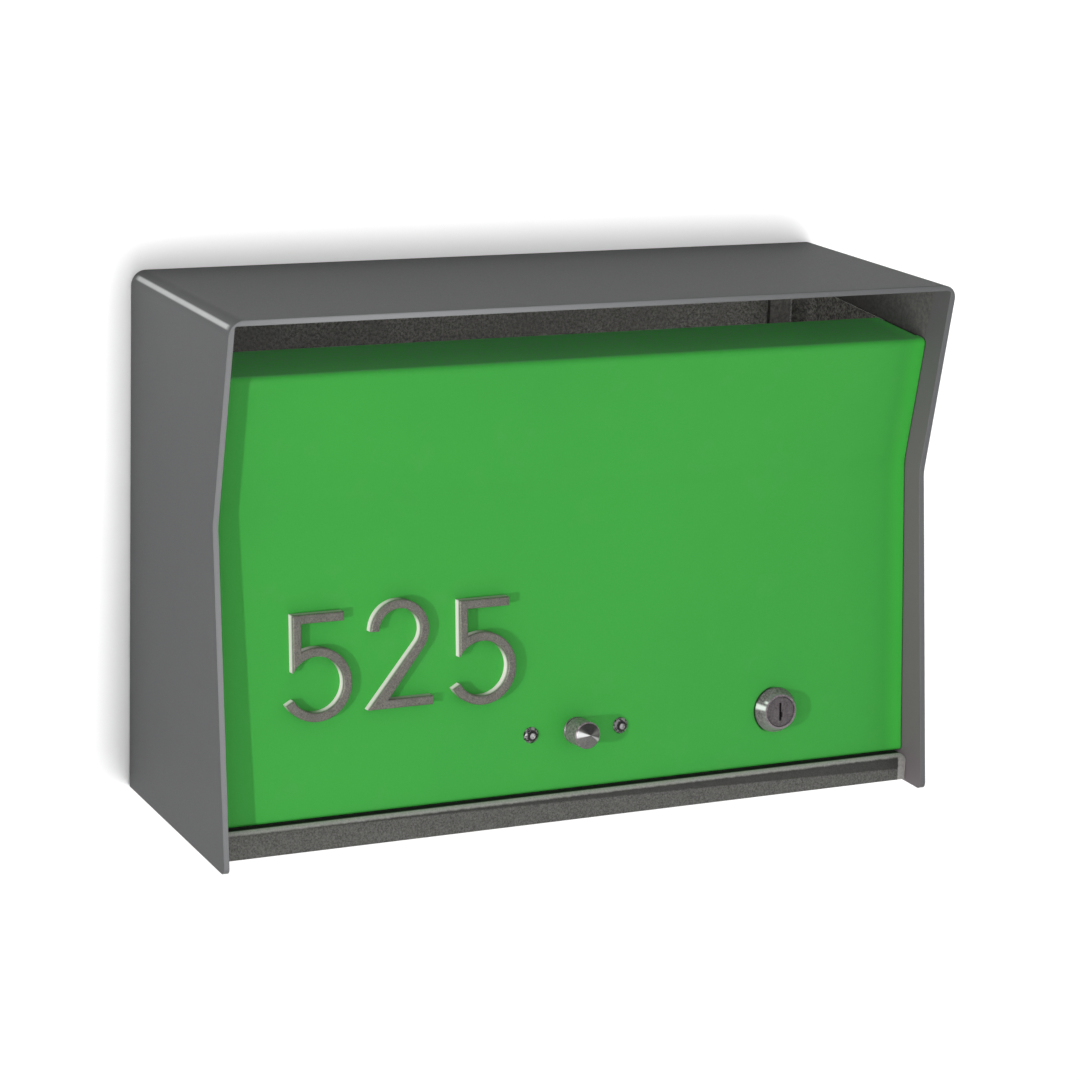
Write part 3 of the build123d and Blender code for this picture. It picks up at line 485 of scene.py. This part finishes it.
def turned_steel(place, lean):
    """Turned stainless steel: fine rings, with the two opposed highlights of a lathed cone painted in, and painted
    shade above and to the right.
    """
    m = Maker("stainless")
    m.round_edges(0.0004)
    right, up, angle = from_axis(m, place, lean)
    radius = distance(m, right, up)
    rings = m.noise(5200, 3, 0.6, m.add("ShaderNodeCombineXYZ", {0: radius}).outputs[0])
    grain = m.noise(800, 4, 0.7)
    front = m.span(m.facing()[1], -0.70, -0.80)
    # Painted highlights on the cone's left and lower right, and painted shade above it and to its right.
    painted_shine = m.math("MAXIMUM", wedge(m, angle, 176, 17, 7), m.both(wedge(m, angle, -30, 7, 5), 0.6))
    shade = m.math("MAXIMUM", wedge(m, angle, 85, 62, 18), m.both(wedge(m, angle, -12, 10, 8), 0.5))
    cone = m.mix(m.span(grain, 0.35, 0.65), srgb(118, 117, 115), srgb(140, 139, 136))
    cone = m.mix(m.both(shade, m.across(grain, 0.75, 1.0)), cone, srgb(58, 58, 58))
    cone = m.mix(painted_shine, cone, srgb(255, 255, 255))
    barrel = m.mix(m.span(grain, 0.40, 0.60), srgb(112, 102, 108), srgb(166, 153, 160))
    tone = m.mix(front, barrel, cone)
    m.surface(
        Base_Color=tone,
        Metallic=m.mixed(0.15, 0.85, front),
        Roughness=m.across(rings, 0.3, 0.42),
        Normal=m.bump(m.math("ADD", rings, m.math("MULTIPLY", grain, 0.5)), 0.00002, 0.6, m.rounded),
    )
    return m.material


def bezel_chrome(place, lean):
    """Satin lock body, mottled grey, with one sharp painted highlight on its left and painted light on its lower
    part.
    """
    m = Maker("chrome")
    m.round_edges(0.0004)
    right, up, angle = from_axis(m, place, lean)
    radius = distance(m, right, up)
    grain = m.noise(750, 5, 0.8)
    tone = m.mix(m.span(grain, 0.40, 0.60), srgb(92, 84, 89), srgb(156, 145, 151))
    rim = m.both(m.span(radius, *BEZEL_RIM_INNER), m.span(radius, *BEZEL_RIM_OUTER))
    tone = m.mix(m.both(rim, 0.45), tone, srgb(150, 150, 148))
    # Painted light: the lower part of the lock body is lighter.
    lower = m.span(up, *BEZEL_PAINTED_LIGHT_LOWER)
    tone = m.mix(m.both(lower, 0.55), tone, srgb(160, 156, 157))
    # Painted highlight: one sharp mark with a thin arm on the left of the lock body.
    arm = m.both(wedge(m, angle, 146, 4, 3), m.span(radius, *BEZEL_HIGHLIGHT_ARM))
    painted_shine = m.both(m.math("MAXIMUM", wedge(m, angle, 165, 7, 4), arm), m.span(radius, *BEZEL_HIGHLIGHT))
    tone = m.mix(painted_shine, tone, srgb(255, 255, 255))
    m.surface(
        Base_Color=tone,
        Metallic=m.mixed(0.2, 0.0, painted_shine),
        Roughness=m.across(grain, 0.3, 0.42),
        Normal=m.bump(grain, 0.00005, 0.6, m.rounded),
    )
    return m.material


def screw_chrome(low, high):
    """Polished button heads with painted reflections: a bright painted highlight in the socket, a dark ring around
    it, and mottled reflections outside.

    low and high are the corners of the box around both screws.
    """
    m = Maker("polished")
    m.round_edges(0.0003)
    middle = (low.x + high.x) / 2
    reach = (high.x - low.x) / 2 - SCREW_RADIUS
    x, _, z = m.axes(m.place)
    right = m.math("SUBTRACT", m.math("ABSOLUTE", m.math("SUBTRACT", x, middle)), reach)
    up = m.math("SUBTRACT", z, SCREW_HEIGHT)
    radius = distance(m, right, up)
    # Painted reflections: mottled dark and bright outside, a dark ring, and a bright highlight in the socket.
    grain = m.noise(620, 4, 0.8)
    tone = m.mix(m.span(grain, 0.44, 0.56), srgb(26, 26, 26), srgb(178, 174, 177))
    tone = m.mix(m.span(radius, *SCREW_DARK_REFLECTION), tone, srgb(38, 38, 38))
    socket = m.both(m.span(radius, *SCREW_SOCKET), m.span(grain, 0.3, 0.5, 0.6, 1.0))
    tone = m.mix(socket, tone, srgb(245, 245, 245))
    m.surface(
        Base_Color=tone,
        Metallic=m.span(radius, *SCREW_SOCKET, 0.4, 0.1),
        Roughness=0.25,
        Normal=m.bump(grain, 0.00008, 0.7, m.rounded),
    )
    return m.material


def soft_material(name, low, high, scale, rough, depth):
    """Moulded rubber or plastic with a fine surface grain."""
    m = Maker(name)
    m.round_edges(0.0004)
    grain = m.noise(scale, 3, 0.6)
    m.surface(
        Base_Color=m.mix(m.span(grain, 0.35, 0.65), low, high),
        Roughness=m.across(m.noise(scale / 8, 3), rough - 0.06, rough + 0.06),
        Normal=m.bump(grain, depth, 0.6, m.rounded),
    )
    return m.material


def assign(material, *names):
    """Give CAD pieces a material."""
    for name in names:
        mesh = nodes[name].data
        mesh.materials.clear()
        mesh.materials.append(material)


# --- stage ---------------------------------------------------------------------------------------

WALL_GAP = 0.0002
FLOOR_DROP = 0.6
STAGE_SIDE = 2.5
STAGE_TOP = 2.2


def wall_material():
    """Matt white plaster, see-through from behind so that the box's back can be looked at."""
    m = Maker("wall_white")
    m.surface(Base_Color=(0.93, 0.93, 0.93, 1), Roughness=0.9, Normal=m.bump(m.noise(300, 3), 0.0001, 0.2))
    clear = m.add("ShaderNodeBsdfTransparent").outputs[0]
    back = m.add("ShaderNodeNewGeometry").outputs["Backfacing"]
    mixed = m.add("ShaderNodeMixShader", {0: back, 1: m.shader.outputs[0], 2: clear})
    m.tree.links.new(mixed.outputs[0], m.output.inputs["Surface"])
    return m.material


def floor_material():
    """Plain pale floor."""
    m = Maker("floor_white")
    m.surface(Base_Color=(0.9, 0.9, 0.9, 1), Roughness=0.8, Normal=m.bump(m.noise(200, 3), 0.0002, 0.2))
    return m.material


def plane(name, corners, material):
    """A flat piece of the stage."""
    mesh = bpy.data.meshes.new(name)
    mesh.from_pydata(corners, [], [(0, 1, 2, 3)])
    thing = bpy.data.objects.new(name, mesh)
    mesh.materials.append(material)
    bpy.context.scene.collection.objects.link(thing)
    return thing


def make_stage():
    """White wall behind the box and a pale floor below it."""
    wall_y = cad_high.y + WALL_GAP
    floor_z = cad_low.z - FLOOR_DROP
    side, top = STAGE_SIDE, STAGE_TOP
    wall = plane(
        "wall",
        [(-side, wall_y, floor_z), (side, wall_y, floor_z), (side, wall_y, top), (-side, wall_y, top)],
        wall_material(),
    )
    floor = plane(
        "floor",
        [(-side, -side, floor_z), (side, -side, floor_z), (side, side, floor_z), (-side, side, floor_z)],
        floor_material(),
    )
    return wall, floor


# --- light ----------------------------------------------------------------------------------------

WORLD_LEVEL = 0.74
WORLD_OVERHEAD = 0.45
KEY_PLACE = (-0.556, -0.461, -0.031)
KEY_POWER = 14.2
KEY_RADIUS = 0.004
SIDE_FILL_PLACE = (-0.16, -0.32, 0.02)
SIDE_FILL_TARGET = (0.19, -0.13, 0.0)


def collection_of(name, things):
    """A collection used only to say what a light reaches or is blocked by."""
    made = bpy.data.collections.new(name)
    for thing in things:
        made.objects.link(thing)
    return made


def hang(name, data, receivers, blockers=None):
    """Put a light in the scene that reaches only its receivers, and is blocked only by its blockers."""
    light = bpy.data.objects.new(name, data)
    bpy.context.scene.collection.objects.link(light)
    light.light_linking.receiver_collection = collection_of(name + "_on", receivers)
    if blockers is not None:
        light.light_linking.blocker_collection = collection_of(name + "_by", blockers)
    return light


def aim(light, direction):
    """Turn a light to shine along a direction."""
    light.rotation_mode = "QUATERNION"
    light.rotation_quaternion = Vector(direction).to_track_quat("-Z", "Y")


def sun(name, direction, strength, degrees, receivers, blockers=None):
    """Distant light along a direction, blurred by an angle."""
    data = bpy.data.lights.new(name, "SUN")
    data.energy = strength
    data.angle = math.radians(degrees)
    aim(hang(name, data, receivers, blockers), direction)


def area_light(name, place, target, size, power, receivers, blockers=None):
    """Rectangular soft light."""
    data = bpy.data.lights.new(name, "AREA")
    data.shape = "RECTANGLE"
    data.size, data.size_y = size
    data.energy = power
    light = hang(name, data, receivers, blockers)
    light.location = place
    aim(light, Vector(target) - Vector(place))


def point_light(name, place, radius, power, receivers):
    """Small near light that is as strong far off as near."""
    data = bpy.data.lights.new(name, "POINT")
    data.energy = power
    data.shadow_soft_size = radius
    data.use_nodes = True
    tree = data.node_tree
    falloff = tree.nodes.new("ShaderNodeLightFalloff")
    falloff.inputs["Strength"].default_value = 1.0
    tree.links.new(falloff.outputs["Constant"], tree.nodes["Emission"].inputs["Strength"])
    hang(name, data, receivers).location = place


def make_world():
    """Even white surroundings, a little darker overhead."""
    world = bpy.data.worlds.new("studio")
    world.use_nodes = True
    tree = world.node_tree
    background = tree.nodes["Background"]
    background.inputs["Color"].default_value = (1, 1, 1, 1)
    place = tree.nodes.new("ShaderNodeTexCoord")
    parts = tree.nodes.new("ShaderNodeSeparateXYZ")
    ramp = tree.nodes.new("ShaderNodeMapRange")
    ramp.inputs["From Min"].default_value = 0.0
    ramp.inputs["From Max"].default_value = 1.0
    ramp.inputs["To Min"].default_value = WORLD_LEVEL
    ramp.inputs["To Max"].default_value = WORLD_OVERHEAD
    tree.links.new(place.outputs["Generated"], parts.inputs[0])
    tree.links.new(parts.outputs["Z"], ramp.inputs["Value"])
    tree.links.new(ramp.outputs["Result"], background.inputs["Strength"])
    bpy.context.scene.world = world


def make_lights(wall, floor):
    """A near key light on the door, and fills that each light a few pieces."""
    casing, door = nodes["outer_casing"], nodes["door_panel"]
    numbers = [nodes[name] for name in NUMBERS]
    inside = [nodes[name] for name in (*LINERS, "top_rivets")]
    bodies = frame["record"]["behaviour"]["bodies"]
    on_door = [nodes[name] for body in ("door", "lock_plug") for name in bodies[body]]
    # With no blockers named everything blocks a light, so the floor stands in for nothing.
    nothing = [floor]
    point_light("key", KEY_PLACE, KEY_RADIUS, KEY_POWER, on_door)
    sun("wall_wash", (-0.060, 1.0, 0.086), 2.0, 10.5, [wall])
    sun("wall_lift", (0, 1, 0.3), 0.92, 10, [wall], nothing)
    sun("recess_fill", (0.0, 1.0, 0.05), 1.4, 20, inside + [casing], nothing)
    sun("recess_side", (1.0, 0.2, 0.05), 1.0, 20, inside, nothing)
    sun("flange_fill", (0.0, 0.05, -1.0), 0.52, 10, [door], nothing)
    sun("number_edge", (1.0, 0.02, -0.25), 1.0, 15, numbers, nothing)
    area_light("side_fill", SIDE_FILL_PLACE, SIDE_FILL_TARGET, (0.2, 0.3), 1.9, [casing], [floor, door])


# --- the scene -------------------------------------------------------------------------------------


bpy.context.scene.view_settings.view_transform = "Standard"
make_camera()
make_world()
make_lights(*make_stage())

joint = {item["name"]: item for item in frame["joints"]}["lock_turn"]
lock_axis = joint["pos_m"]
lean = -joint["axis"][2] / joint["axis"][1]
knob_low, knob_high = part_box("pull_knob")
knob_axis = ((knob_low[0] + knob_high[0]) / 2, knob_high[1], (knob_low[2] + knob_high[2]) / 2)

# Every piece is zinc plated unless it is given another material after this.
assign(metal("zinc", srgb(150, 152, 152), srgb(196, 197, 195), (0.3, 0.42), 600), *nodes)
assign(casing_paint(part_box("outer_casing")[0].y), "outer_casing")
assign(door_paint(lock_axis, lean), "door_panel")
assign(liner_paint(), *LINERS)
assign(bare_steel(), "bottom_pan")
assign(turned_steel(knob_axis, lean), "pull_knob")
assign(nickel(lock_axis, joint["axis"]), *NUMBERS)
assign(bezel_chrome(lock_axis, lean), "lock_housing")
assign(screw_chrome(*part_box("bracket_screws")), "bracket_screws")
face = metal("lock_face", srgb(76, 70, 73), srgb(120, 113, 116), (0.35, 0.5), 800, metallic=0.3, wear=0.25)
assign(face, "lock_plug")
rubber = soft_material("rubber", srgb(30, 30, 30), srgb(48, 47, 46), 900, 0.7, 0.00004)
plastic = soft_material("black_plastic", srgb(26, 26, 27), srgb(40, 40, 41), 1200, 0.45, 0.00002)
nylon = soft_material("nylon", srgb(214, 208, 194), srgb(230, 225, 212), 700, 0.5, 0.00002)
assign(rubber, "bumper_left", "bumper_right")
assign(plastic, "magnetic_catch")
assign(nylon, "hinge_bushing_left", "hinge_bushing_right")
